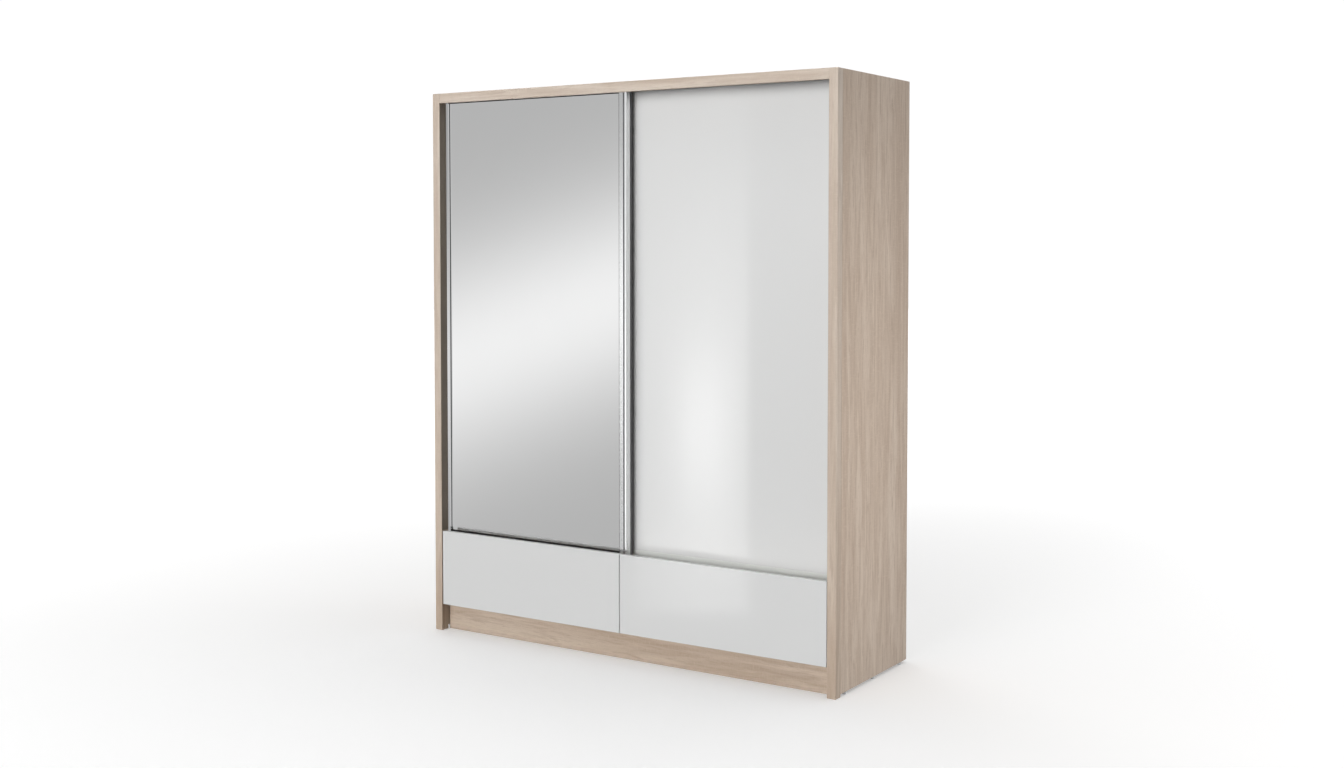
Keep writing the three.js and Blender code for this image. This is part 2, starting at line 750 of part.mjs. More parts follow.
// A drawer side of bent sheet: a wall with its ledge and hem turned inward. Inward is +1 or -1 along X.
function drawerSideOutline(outer, inward) {
  const outline = [
    [0, sideBottom],
    [flange, sideBottom],
    [flange, sideBottom + STEEL],
    [STEEL, sideBottom + STEEL],
    [STEEL, sideTop - STEEL],
    [hem, sideTop - STEEL],
    [hem, sideTop],
    [0, sideTop],
  ].map(([u, z]) => [outer + inward * u, z]);
  return inward > 0 ? outline : outline.reverse();
}

// A runner: a web on the cabinet, an arm that reaches under the drawer side and a lip along it.
function runnerOutline(wall, inward, arm) {
  const outline = [
    [0, drawerFloor],
    [arm, drawerFloor],
    [arm, drawerFloor + STEEL + RUNNER_LIP],
    [arm - STEEL, drawerFloor + STEEL + RUNNER_LIP],
    [arm - STEEL, drawerFloor + STEEL],
    [STEEL, drawerFloor + STEEL],
    [STEEL, drawerFloor + RUNNER_HEIGHT],
    [0, drawerFloor + RUNNER_HEIGHT],
  ].map(([u, z]) => [wall + inward * u, z]);
  return inward > 0 ? outline : outline.reverse();
}

for (const [side, sign] of SIDES) {
  const drawer = new THREE.Group();
  model.add(drawer);
  const front = sided(
    sign,
    DRAWER_GAP / 2,
    stripInner - DRAWER_GAP,
    DRAWER_FRONT_SETBACK,
    drawerFrontBack,
    drawerFrontBottom,
    drawerFrontTop,
  );
  board(drawer, `${side}_drawer_front`, whiteGloss, ...front);

  const near = sign * (dividerHalf + DRAWER_SIDE_GAP); // box face beside the divider
  const far = sign * (stripInner - DRAWER_SIDE_GAP); // box face beside the strip
  const cabinet = [
    ["inner", near, sign, sign * (dividerHalf + JOINT)],
    ["outer", far, -sign, sign * (innerHalf - JOINT)],
  ];
  for (const [where, outer, inward, wall] of cabinet) {
    const steelSide = alongY(drawerSideOutline(outer, inward), boxFront, boxBack);
    piece(drawer, `${side}_drawer_${where}_side`, steelSide, whiteSteel);
    const arm = Math.abs(outer - wall) + RUNNER_BEARING;
    const runner = alongY(runnerOutline(wall, inward, arm), STRIP_DEPTH + JOINT, boxBack);
    piece(carcass, `${side}_drawer_${where}_runner`, runner, zincSteel);
  }
  const xs = [near + sign * (STEEL + JOINT), far - sign * (STEEL + JOINT)];
  const low = Math.min(...xs);
  const high = Math.max(...xs);
  const bottomUnder = sideBottom + STEEL + JOINT;
  const bottomTop = bottomUnder + DRAWER_BOTTOM_BOARD;
  board(
    drawer,
    `${side}_drawer_bottom`,
    whiteBoard,
    [low, boxFront, bottomUnder],
    [high, boxBack, bottomTop],
  );
  board(
    drawer,
    `${side}_drawer_back`,
    whiteBoard,
    [low, boxBack - DRAWER_BACK_BOARD, bottomTop + JOINT],
    [high, boxBack, sideTop - STEEL - JOINT],
  );
}

export default model;
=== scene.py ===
"""Sliding door wardrobe: finishes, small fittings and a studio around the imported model. Metres, +Z up."""

import math

import bmesh
import bpy
from mathutils import Matrix, Vector


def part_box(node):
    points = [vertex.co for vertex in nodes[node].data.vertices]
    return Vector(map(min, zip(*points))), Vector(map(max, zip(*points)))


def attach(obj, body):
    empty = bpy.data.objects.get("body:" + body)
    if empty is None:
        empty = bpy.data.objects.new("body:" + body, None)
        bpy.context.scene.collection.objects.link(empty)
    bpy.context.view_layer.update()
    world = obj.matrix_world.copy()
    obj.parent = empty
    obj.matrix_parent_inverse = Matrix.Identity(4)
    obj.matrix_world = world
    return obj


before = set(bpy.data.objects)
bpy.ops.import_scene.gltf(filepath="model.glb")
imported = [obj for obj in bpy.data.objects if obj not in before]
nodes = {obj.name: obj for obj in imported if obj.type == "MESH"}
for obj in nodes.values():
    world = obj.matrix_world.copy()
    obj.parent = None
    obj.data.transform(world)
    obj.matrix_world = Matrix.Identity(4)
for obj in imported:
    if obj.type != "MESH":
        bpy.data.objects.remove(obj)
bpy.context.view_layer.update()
MM = 0.001


# ---------------------------------------------------------------- node helpers
class Graph:
    """A node tree, with short ways to add nodes and link them."""

    def __init__(self, tree):
        self.tree = tree

    def node(self, kind, **inputs):
        made = self.tree.nodes.new(kind)
        for name, value in inputs.items():
            self.put(made.inputs[name.replace("_", " ")], value)
        return made

    def put(self, socket, value):
        if isinstance(value, bpy.types.NodeSocket):
            self.tree.links.new(value, socket)
        else:
            socket.default_value = value

    def noise(self, vector, scale=1.0, detail=2.0, roughness=0.5, distortion=0.0):
        made = self.node("ShaderNodeTexNoise", Vector=vector, Scale=scale, Detail=detail)
        made.inputs["Roughness"].default_value = roughness
        made.inputs["Distortion"].default_value = distortion
        return made.outputs["Fac"]

    def math(self, operation, a, b=0.0, c=0.0):
        made = self.tree.nodes.new("ShaderNodeMath")
        made.operation = operation
        for socket, value in zip(made.inputs, (a, b, c)):
            self.put(socket, value)
        return made.outputs[0]

    def spread(self, value, low, high, to_low=0.0, to_high=1.0):
        made = self.tree.nodes.new("ShaderNodeMapRange")
        for socket, item in zip(made.inputs, (value, low, high, to_low, to_high)):
            self.put(socket, item)
        return made.outputs[0]

    def mix(self, factor, a, b):
        made = self.tree.nodes.new("ShaderNodeMix")
        made.data_type = "RGBA"
        self.put(made.inputs[0], factor)
        self.put(made.inputs[6], a)
        self.put(made.inputs[7], b)
        return made.outputs[2]


class Shader(Graph):
    """A material made of nodes."""

    def __init__(self, name):
        self.material = bpy.data.materials.new(name)
        self.material.use_nodes = True
        super().__init__(self.material.node_tree)
        self.bsdf = self.tree.nodes["Principled BSDF"]
        self.place = self.tree.nodes.new("ShaderNodeTexCoord").outputs["Object"]

    def stretched(self, scale, offset=(0, 0, 0)):
        """The object's own coordinates, in metres, times a scale for each axis."""
        made = self.node("ShaderNodeMapping", Vector=self.place, Scale=scale, Location=offset)
        return made.outputs["Vector"]

    def bump(self, height, distance, strength=1.0):
        made = self.node("ShaderNodeBump", Height=height, Distance=distance, Strength=strength)
        self.put(self.bsdf.inputs["Normal"], made.outputs["Normal"])

    def set(self, **values):
        for name, value in values.items():
            self.put(self.bsdf.inputs[name.replace("_", " ")], value)


def rgba(red, green, blue):
    return (red, green, blue, 1.0)


GRAIN_AXIS = {"x": 0, "y": 1, "z": 2}


def along(axis, across, length):
    """Scales that stretch a texture along one axis: features of size across and length, in metres."""
    scale = [1 / across] * 3
    scale[GRAIN_AXIS[axis]] = 1 / length
    return tuple(scale)


# ---------------------------------------------------------------- finishes
def oak(name, grain, seed, tint, painted_foot_shade=None, contrast=1.0):
    """Pale sonoma oak laminate: soft bands, fine streaks, short pores and faint saw marks."""
    s = Shader(name)
    shift = (seed * 3.17, seed * 1.71, seed * 2.39)
    bands = s.noise(s.stretched(along(grain, 0.052, 0.8), shift), detail=3, roughness=0.5, distortion=0.9)
    streaks = s.noise(
        s.stretched(along(grain, 0.015, 0.22), shift),
        detail=5,
        roughness=0.68,
        distortion=0.8,
    )
    fine = s.noise(s.stretched(along(grain, 0.0034, 0.06), shift), detail=4, roughness=0.7, distortion=0.4)
    pores = s.noise(s.stretched(along(grain, 0.0011, 0.014), shift), detail=2, roughness=0.6)
    saw = s.noise(s.stretched(along(grain, 0.024, 0.0034), shift), detail=3, roughness=0.6)
    base = s.mix(s.spread(bands, 0.36, 0.64), rgba(0.87, 0.825, 0.785), rgba(1.08, 1.09, 1.09))
    base = s.mix(s.spread(streaks, 0.50, 0.66, 0.0, 0.85 * contrast), base, rgba(0.77, 0.71, 0.665))
    base = s.mix(s.spread(streaks, 0.32, 0.46, 0.45 * contrast, 0.0), base, rgba(1.12, 1.13, 1.11))
    base = s.mix(s.spread(fine, 0.52, 0.70, 0.0, 0.72 * contrast), base, rgba(0.73, 0.665, 0.605))
    base = s.mix(s.spread(pores, 0.60, 0.74, 0.0, 0.42 * contrast), base, rgba(0.60, 0.53, 0.46))
    base = s.mix(s.spread(saw, 0.52, 0.70, 0.0, 0.32 * contrast), base, rgba(1.14, 1.14, 1.12))
    colour = rgba(*tint)
    # painted shade: the colour darkens from 1.35 m high down to the floor
    if painted_foot_shade:
        height = s.node("ShaderNodeSeparateXYZ", Vector=s.place).outputs["Z"]
        colour = s.mix(s.spread(height, 0.0, 1.35), rgba(*painted_foot_shade), colour)
    tinted = s.tree.nodes.new("ShaderNodeMix")
    tinted.data_type = "RGBA"
    tinted.blend_type = "MULTIPLY"
    for socket, value in ((0, 1.0), (6, base), (7, colour)):
        s.put(tinted.inputs[socket], value)
    s.set(Base_Color=tinted.outputs[2], Roughness=s.spread(fine, 0.3, 0.7, 0.46, 0.60))
    s.bsdf.inputs["Specular IOR Level"].default_value = 0.35
    relief = s.math("MULTIPLY_ADD", s.spread(pores, 0.55, 0.8), -0.7, s.math("MULTIPLY", fine, 0.4))
    s.bump(relief, 0.00012, 0.6)
    return s.material


def gloss_white(name, seed):
    """High-gloss foil: an even white with the faint long-wave ripple of a pressed board."""
    s = Shader(name)
    shift = (seed * 1.3, seed * 0.7, seed * 2.1)
    cloud = s.noise(s.stretched((3, 3, 3), shift), detail=2)
    peel = s.noise(s.stretched((110, 110, 110), shift), detail=2, roughness=0.45)
    s.set(
        Base_Color=s.mix(cloud, rgba(0.755, 0.758, 0.755), rgba(0.775, 0.778, 0.776)),
        Roughness=s.spread(peel, 0.3, 0.7, 0.02, 0.04),
    )
    s.bsdf.inputs["IOR"].default_value = 1.5
    s.bump(peel, 0.000006, 0.3)
    return s.material


def mirror():
    s = Shader("silver_mirror")
    haze = s.noise(s.stretched((9, 9, 9)), detail=3)
    s.set(
        Base_Color=s.mix(haze, rgba(0.908, 0.910, 0.910), rgba(0.922, 0.924, 0.924)),
        Roughness=s.spread(haze, 0.3, 0.8, 0.0, 0.012),
    )
    s.bsdf.inputs["Metallic"].default_value = 1.0
    return s.material


def aluminium(name, grain, light=0.78, rough=0.055):
    """Satin anodised section: fine drawing lines along its length."""
    s = Shader(name)
    lines = s.noise(s.stretched(along(grain, 0.0004, 0.25)), detail=3, roughness=0.7)
    cloud = s.noise(s.stretched(along(grain, 0.02, 0.9)), detail=2)
    drawn = s.spread(lines, 0.3, 0.7, rough - 0.03, rough + 0.03)
    s.set(
        Base_Color=s.mix(lines, rgba(light * 0.93, light * 0.94, light * 0.95), rgba(light, light, light)),
        Roughness=s.math("ADD", drawn, s.math("MULTIPLY", cloud, 0.04)),
    )
    s.bsdf.inputs["Metallic"].default_value = 1.0
    s.bump(lines, 0.000006, 0.4)
    return s.material


def lacquered(name, low, high, rough, grain_size=0.0007, relief=0.00003, metallic=0.0):
    """Powder coat, moulded plastic or lacquer: a fine even stipple and a slight unevenness of tone."""
    s = Shader(name)
    stipple = s.noise(s.stretched((1 / grain_size,) * 3), detail=2, roughness=0.6)
    cloud = s.noise(s.stretched((14, 14, 14)), detail=3)
    s.set(
        Base_Color=s.mix(cloud, rgba(*low), rgba(*high)),
        Roughness=s.spread(stipple, 0.25, 0.75, rough - 0.05, rough + 0.07),
    )
    s.bsdf.inputs["Metallic"].default_value = metallic
    s.bump(stipple, relief, 0.5)
    return s.material


def zinc(name):
    """Zinc-plated sheet with faint spangle."""
    s = Shader(name)
    spangle = s.node("ShaderNodeTexVoronoi", Vector=s.stretched((160, 160, 160))).outputs["Color"]
    wear = s.noise(s.stretched((40, 40, 40)), detail=4)
    s.set(
        Base_Color=s.mix(spangle, rgba(0.56, 0.58, 0.60), rgba(0.68, 0.70, 0.71)),
        Roughness=s.spread(wear, 0.3, 0.7, 0.30, 0.46),
    )
    s.bsdf.inputs["Metallic"].default_value = 1.0
    s.bump(wear, 0.00002, 0.3)
    return s.material


def chrome():
    s = Shader("polished_chrome")
    haze = s.noise(s.stretched((25, 220, 220)), detail=3)
    s.set(
        Base_Color=s.mix(haze, rgba(0.72, 0.73, 0.75), rgba(0.80, 0.81, 0.82)),
        Roughness=s.spread(haze, 0.3, 0.8, 0.06, 0.16),
    )
    s.bsdf.inputs["Metallic"].default_value = 1.0
    return s.material


def hardboard():
    """Lacquered hardboard: off-white with short pressed fibres."""
    s = Shader("lacquered_hardboard")
    fibre = s.noise(s.stretched((420, 420, 420)), detail=4, roughness=0.7, distortion=1.5)
    cloud = s.noise(s.stretched((4, 4, 4)), detail=3)
    base = s.mix(cloud, rgba(0.60, 0.585, 0.55), rgba(0.67, 0.655, 0.62))
    base = s.mix(s.spread(fibre, 0.58, 0.8, 0.0, 0.35), base, rgba(0.47, 0.44, 0.39))
    s.set(Base_Color=base, Roughness=s.spread(fibre, 0.3, 0.7, 0.5, 0.68))
    s.bump(fibre, 0.00008, 0.5)
    return s.material


def bristles(name):
    """Black pile strip, whose darkness is also painted shade of the gap between the doors: fine hairs that
    run into the wardrobe.
    """
    s = Shader(name)
    hairs = s.noise(s.stretched(along("y", 0.00035, 0.02)), detail=3, roughness=0.7)
    s.set(
        Base_Color=s.mix(hairs, rgba(0.16, 0.16, 0.162), rgba(0.24, 0.24, 0.242)),
        Roughness=s.spread(hairs, 0.3, 0.7, 0.7, 0.95),
    )
    s.bump(hairs, 0.0002, 0.9)
    return s.material


PALE_OAK = (0.685, 0.59, 0.506)
# darker, warmer copy of the pale oak: painted shade for the foot of the front strips and for the recessed
# plinth
FOOT_SHADE_OAK = (0.58, 0.468, 0.374)
# darker, warmer copy of the pale oak: painted shade for the side panels and the inner panels
SHADED_OAK = (0.66, 0.538, 0.438)
FINISHES = {
    "oak_side": oak("oak_side", "z", 1, SHADED_OAK),
    "oak_strip": oak("oak_strip", "z", 7, PALE_OAK, FOOT_SHADE_OAK, 0.6),
    "oak_fascia": oak("oak_fascia", "x", 3, PALE_OAK, None, 0.7),
    # the plinth takes the darker foot oak: painted shade of its recess under the drawers
    "oak_plinth": oak("oak_plinth", "x", 6, FOOT_SHADE_OAK),
    "oak_inside_up": oak("oak_inside_up", "z", 4, SHADED_OAK),
    "oak_inside_across": oak("oak_inside_across", "x", 5, SHADED_OAK),
    "white_gloss": gloss_white("white_gloss", 1),
    "mirror": mirror(),
    "aluminium_up": aluminium("aluminium_up", "z"),
    "aluminium_across": aluminium("aluminium_across", "x"),
    "pale_rail": lacquered("pale_rail", (0.80, 0.815, 0.785), (0.83, 0.845, 0.815), 0.42),
    # near-black rails of the mirror door: painted shadow of the gaps above and below the mirror
    "black_rail": lacquered("black_rail", (0.004, 0.004, 0.004), (0.008, 0.008, 0.008), 0.5),
    "pile": bristles("black_pile_and_gap_shade"),
    # the dust seal's dark pile is partly painted shade of the gap between the doors
    "nylon": lacquered("grey_nylon", (0.15, 0.155, 0.16), (0.18, 0.185, 0.19), 0.45),
    "zinc": zinc("zinc_plate"),
    "white_steel": lacquered("white_powder_coat", (0.70, 0.71, 0.71), (0.74, 0.75, 0.75), 0.38),
    "white_board": lacquered("white_melamine", (0.70, 0.70, 0.68), (0.74, 0.74, 0.72), 0.45),
    "chrome": chrome(),
    "hardboard": hardboard(),
    # dark brown: painted shade on the inner faces of the front strips
    "painted_shade_brown": lacquered("painted_shade_brown", (0.21, 0.17, 0.13), (0.25, 0.205, 0.16), 0.6),
    "rubber": lacquered("black_rubber", (0.012, 0.012, 0.012), (0.02, 0.02, 0.02), 0.75),
}

DOORS = ("mirror_door", "white_door")
ENDS = ("left", "right")
CAD_FINISH = {
    "left_side_panel": "oak_side",
    "right_side_panel": "oak_side",
    "left_front_strip": "oak_strip",
    "right_front_strip": "oak_strip",
    "fascia": "oak_fascia",
    "front_plinth": "oak_plinth",
    "top_panel": "oak_inside_across",
    "deck_panel": "oak_inside_across",
    "base_panel": "oak_inside_across",
    "rear_plinth": "oak_inside_across",
    "base_rib": "oak_inside_across",
    "hat_shelf": "oak_inside_across",
    "shelf_1": "oak_inside_across",
    "shelf_2": "oak_inside_across",
    "shelf_3": "oak_inside_across",
    "drawer_divider": "oak_inside_up",
    "centre_divider": "oak_inside_up",
    "back_panel_left": "hardboard",
    "back_panel_right": "hardboard",
    "hanging_rod": "chrome",
    "rod_holder_left": "chrome",
    "rod_holder_right": "chrome",
    "bottom_track": "aluminium_across",
    "top_track": "aluminium_across",
    "mirror_glass": "mirror",
    "mirror_backing_board": "white_board",
    "mirror_door_edge_profile": "aluminium_up",
    "mirror_door_handle_profile": "aluminium_up",
    "mirror_door_bottom_rail": "black_rail",
    "mirror_door_top_rail": "black_rail",
    "mirror_door_dust_seal": "pile",
    "white_door_handle_profile": "aluminium_up",
    "white_door_board": "white_gloss",
    "white_door_bottom_rail": "pale_rail",
}
for door in DOORS:
    for end in ENDS:
        CAD_FINISH[f"{door}_wheel_{end}"] = "nylon"
        CAD_FINISH[f"{door}_top_guide_{end}"] = "nylon"
        CAD_FINISH[f"{door}_roller_carrier_{end}"] = "zinc"
for side in ENDS:
    CAD_FINISH[f"{side}_drawer_front"] = "white_gloss"
    CAD_FINISH[f"{side}_drawer_bottom"] = "white_board"
    CAD_FINISH[f"{side}_drawer_back"] = "white_board"
    for where in ("inner", "outer"):
        CAD_FINISH[f"{side}_drawer_{where}_side"] = "white_steel"
        CAD_FINISH[f"{side}_drawer_{where}_runner"] = "zinc"

# the photographed mirror shows only the studio beside it, so the front frame stays out of reflections
for name in ("left_front_strip", "right_front_strip", "fascia"):
    nodes[name].visible_glossy = False

for name, key in CAD_FINISH.items():
    materials = nodes[name].data.materials
    materials.clear()
    materials.append(FINISHES[key])


# ---------------------------------------------------------------- small fittings
def added(name, bm, key, body="carcass", smooth=True):
    """Turn mesh code into a named piece that rides on a body."""
    mesh = bpy.data.meshes.new(name)
    bmesh.ops.recalc_face_normals(bm, faces=bm.faces)
    for face in bm.faces:
        face.smooth = smooth
    bm.to_mesh(mesh)
    bm.free()
    piece = bpy.data.objects.new(name, mesh)
    bpy.context.scene.collection.objects.link(piece)
    mesh.materials.append(FINISHES[key])
    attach(piece, body)
    return piece


def turned(bm, profile, centre, axis, segments=32):
    """Revolve (radius, height) points round an axis that starts at centre; the ends are closed."""
    turn = Vector((0, 0, 1)).rotation_difference(Vector(axis)).to_matrix().to_4x4()
    place = Matrix.Translation(centre) @ turn
    rings = []
    for radius, height in profile:
        ring = []
        for i in range(segments):
            angle = 2 * math.pi * i / segments
            point = Vector((radius * math.cos(angle), radius * math.sin(angle), height))
            ring.append(bm.verts.new(place @ point))
        rings.append(ring)
    for lower, upper in zip(rings, rings[1:]):
        for i in range(segments):
            j = (i + 1) % segments
            bm.faces.new((lower[i], lower[j], upper[j], upper[i]))
    bm.faces.new(reversed(rings[0]))
    bm.faces.new(rings[-1])


def eased_block(bm, low, high, ease):
    """A block with its edges rounded over."""
    size = [h - l for l, h in zip(low, high)]
    middle = [(h + l) / 2 for l, h in zip(low, high)]
    place = Matrix.Translation(middle) @ Matrix.Diagonal((*size, 1))
    made = bmesh.ops.create_cube(bm, size=1, matrix=place)
    edges = {edge for vert in made["verts"] for edge in vert.link_edges}
    bmesh.ops.bevel(bm, geom=list(edges), offset=ease, segments=3, affect="EDGES", profile=0.5)


def dome(radius, height, foot=0.0):
    """Profile of a low round head: a short straight foot, then a quarter ellipse."""
    steps = [math.radians(a) for a in (0, 20, 40, 60, 80)]
    return [(radius, 0.0)] + [(radius * math.cos(a), foot + (height - foot) * math.sin(a)) for a in steps]


def span(node):
    """Lowest and highest corner of a CAD node."""
    low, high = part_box(node)
    return Vector(low), Vector(high)


side_low, side_high = span("right_side_panel")
side_inner = side_low.x
side_middle = (side_low.x + side_high.x) / 2

# floor glides under the side panels
GLIDE_RADIUS = 8.5 * MM
GLIDE_INSET = 45 * MM
bm = bmesh.new()
rim = GLIDE_RADIUS * 0.86
glide_profile = [
    (rim, 0.0),
    (GLIDE_RADIUS, 1.5 * MM),
    (GLIDE_RADIUS, 5 * MM),
    (rim, 6 * MM),
    (rim, side_low.z),
]
for x in (-side_middle, side_middle):
    for y in (side_low.y + GLIDE_INSET, (side_low.y + side_high.y) / 2, side_high.y - GLIDE_INSET):
        turned(bm, glide_profile, (x, y, 0.0), (0, 0, 1))
added("floor_glides", bm, "white_steel")

# rubber stops that the doors close on
STOP_RADIUS = 6 * MM
STOP_HEIGHT = 7.5 * MM
STOP_FOOT = 4 * MM
door_box = {door: span(f"{door}_bottom_rail") for door in DOORS}
head_box = span("mirror_door_edge_profile")
bm = bmesh.new()
for door in DOORS:
    low, high = door_box[door]
    plane = (low.y + high.y) / 2
    for z in (high.z + 30 * MM, head_box[1].z - 60 * MM):
        for sign in (-1, 1):
            seat = (sign * side_inner, plane, z)
            turned(bm, dome(STOP_RADIUS, STOP_HEIGHT, STOP_FOOT), seat, (-sign, 0, 0), 24)
added("door_stops", bm, "rubber")

# gaskets that hold the mirror: low ones at its left and top edges, a deep bead beside the handle's flange;
# their black lines are also painted shade where the frame stands proud of the glass
GASKET_WIDTH = 2.2 * MM
SIDE_GASKET_WIDTH = 1.4 * MM
GASKET_PROUD = 1.2 * MM
BEAD_WIDTH = 1.6 * MM
FLANGE_BEHIND_RIDGE = 2.0 * MM
glass_low, glass_high = span("mirror_glass")
lip = span("mirror_door_bottom_rail")
handle_low, handle_high = span("mirror_door_handle_profile")
low_front = glass_low.y - GASKET_PROUD
bead_front = handle_low.y + FLANGE_BEHIND_RIDGE + 0.3 * MM
bm = bmesh.new()
for low, high in (
    ((lip[0].x, low_front, glass_low.z), (lip[0].x + SIDE_GASKET_WIDTH, glass_low.y, glass_high.z)),
    ((lip[0].x, low_front, glass_high.z - GASKET_WIDTH), (lip[1].x, glass_low.y, glass_high.z)),
    ((lip[1].x - BEAD_WIDTH, bead_front, glass_low.z), (lip[1].x, glass_low.y, glass_high.z)),
):
    eased_block(bm, low, high, 0.3 * MM)
added("mirror_gaskets_and_edge_shade", bm, "rubber", "mirror_door")

# pale sweep on the front of the white door's bottom rail, just clear of the track
SWEEP_THICKNESS = 0.8 * MM
SWEEP_DROP = 5.5 * MM
SWEEP_LAP = 4 * MM
rail_low, rail_high = span("white_door_bottom_rail")
bm = bmesh.new()
eased_block(
    bm,
    (rail_low.x + 1 * MM, rail_low.y - SWEEP_THICKNESS, rail_low.z - SWEEP_DROP),
    (rail_high.x - 1 * MM, rail_low.y, rail_low.z + SWEEP_LAP),
    0.25 * MM,
)
added("white_door_sweep", bm, "pale_rail", "white_door")

# dark brown sheets on the inner faces of the front strips, beside the doors: painted shade of that recess,
# kept out of reflections
SHADE_SHEET_THICKNESS = 0.8 * MM
front_low, front_high = span("right_front_strip")
drawer_top = span("right_drawer_front")[1].z
fascia_under = span("fascia")[0].z
for side, sign in (("left", -1), ("right", 1)):
    face = sign * front_low.x
    other = face - sign * SHADE_SHEET_THICKNESS
    bm = bmesh.new()
    eased_block(
        bm,
        (min(face, other), front_low.y + 1.5 * MM, drawer_top + 3 * MM),
        (max(face, other), front_high.y - 0.5 * MM, fascia_under - 1 * MM),
        0.3 * MM,
    )
    shade_sheet_piece = added(f"{side}_shade_sheet", bm, "painted_shade_brown")
    shade_sheet_piece.visible_glossy = False

# dark grey nylon strip in the finger groove of the handle section: painted shade of the groove
GROOVE_FROM_RIGHT = 17.0 * MM
GROOVE_SHADE_WIDTH = 3.4 * MM
GROOVE_FLOOR = 7.0 * MM  # behind the front of the ridge
GROOVE_SHADE_DEPTH = 2.2 * MM
groove_x = handle_high.x - GROOVE_FROM_RIGHT
groove_y = handle_low.y + GROOVE_FLOOR
bm = bmesh.new()
eased_block(
    bm,
    (groove_x, groove_y - GROOVE_SHADE_DEPTH, handle_low.z + 1 * MM),
    (groove_x + GROOVE_SHADE_WIDTH, groove_y, handle_high.z - 1 * MM),
    0.5 * MM,
)
added("handle_groove_shade_strip", bm, "nylon", "mirror_door")

# joining strip and nails on the back panels
back_low, back_high = span("back_panel_right")
STRIP_HALF = 11 * MM
STRIP_PROUD = 1.4 * MM
bm = bmesh.new()
eased_block(
    bm,
    (-STRIP_HALF, back_high.y, back_low.z + 6 * MM),
    (STRIP_HALF, back_high.y + STRIP_PROUD, back_high.z - 6 * MM),
    0.6 * MM,
)
added("back_joining_strip", bm, "white_steel")

NAIL_PITCH = 150 * MM
NAIL_INSET = 9 * MM


def evenly(start, end, pitch):
    count = max(1, round((end - start) / pitch))
    return [start + (end - start) * i / count for i in range(count + 1)]


bm = bmesh.new()
left_edge = -back_high.x + NAIL_INSET
top_row = back_high.z - NAIL_INSET
foot_row = back_low.z + NAIL_INSET
spots = [(x, z) for x in (left_edge, -left_edge) for z in evenly(foot_row, top_row, NAIL_PITCH)]
spots += [(x, z) for z in (foot_row, top_row) for x in evenly(left_edge, -left_edge, NAIL_PITCH)[1:-1]]
for x, z in spots:
    turned(bm, dome(2.6 * MM, 0.9 * MM, 0.2 * MM), (x, back_high.y, z), (0, 1, 0), 12)
added("back_nails", bm, "zinc")

# steel pins under the shelves
PIN_RADIUS = 2.5 * MM
PIN_LENGTH = 9 * MM
bm = bmesh.new()
for node in ("hat_shelf", "shelf_1", "shelf_2", "shelf_3"):
    low, high = span(node)
    for x, inward in ((low.x, 1), (high.x, -1)):
        for y in (low.y + 60 * MM, high.y - 60 * MM):
            profile = [(PIN_RADIUS, 0.0), (PIN_RADIUS, PIN_LENGTH * 0.9), (PIN_RADIUS * 0.7, PIN_LENGTH)]
            turned(bm, profile, (x, y, low.z - PIN_RADIUS), (inward, 0, 0), 20)
added("shelf_pins", bm, "zinc")


# ---------------------------------------------------------------- studio
def floor():
    """A pale round floor, wide enough for every view, with a painted glow that grows with distance from a
    point beside the object: painted shade near the object, white far from it.
    """
    mesh = bpy.data.meshes.new("studio_floor")
    bm = bmesh.new()
    bmesh.ops.create_circle(bm, cap_ends=True, segments=128, radius=FLOOR_RADIUS)
    bm.to_mesh(mesh)
    bm.free()
    made = bpy.data.objects.new("studio_floor", mesh)
    bpy.context.scene.collection.objects.link(made)
    made.location.z = -0.5 * MM
    s = Shader("studio_floor")
    grain = s.noise(s.stretched((60, 60, 60)), detail=2)
    away = s.node("ShaderNodeVectorMath", Vector=s.stretched((1, 1, 1), GLOW_SHIFT))
    away.operation = "LENGTH"
    glow = s.spread(away.outputs["Value"], 1.2, 4.6, FLOOR_GLOW, FAR_FLOOR_GLOW)
    s.set(
        Base_Color=s.mix(grain, rgba(0.78, 0.78, 0.78), rgba(0.80, 0.80, 0.80)),
        Roughness=s.spread(grain, 0.3, 0.7, 0.85, 0.95),
        Emission_Strength=glow,
    )
    s.bsdf.inputs["Specular IOR Level"].default_value = 0.1
    s.bsdf.inputs["Emission Color"].default_value = rgba(1.0, 1.0, 1.0)
    mesh.materials.append(s.material)
    made.visible_glossy = False
    made.visible_diffuse = False
    return made


def area_light(name, location, target, size, power):
    data = bpy.data.lights.new(name, "AREA")
    data.shape = "RECTANGLE"
    data.size, data.size_y = size
    data.energy = power
    made = bpy.data.objects.new(name, data)
    bpy.context.scene.collection.objects.link(made)
    made.location = location
    made.rotation_mode = "QUATERNION"
    made.rotation_quaternion = (Vector(target) - Vector(location)).to_track_quat("-Z", "Y")
    made.visible_camera = False
    made.visible_glossy = False
    return made


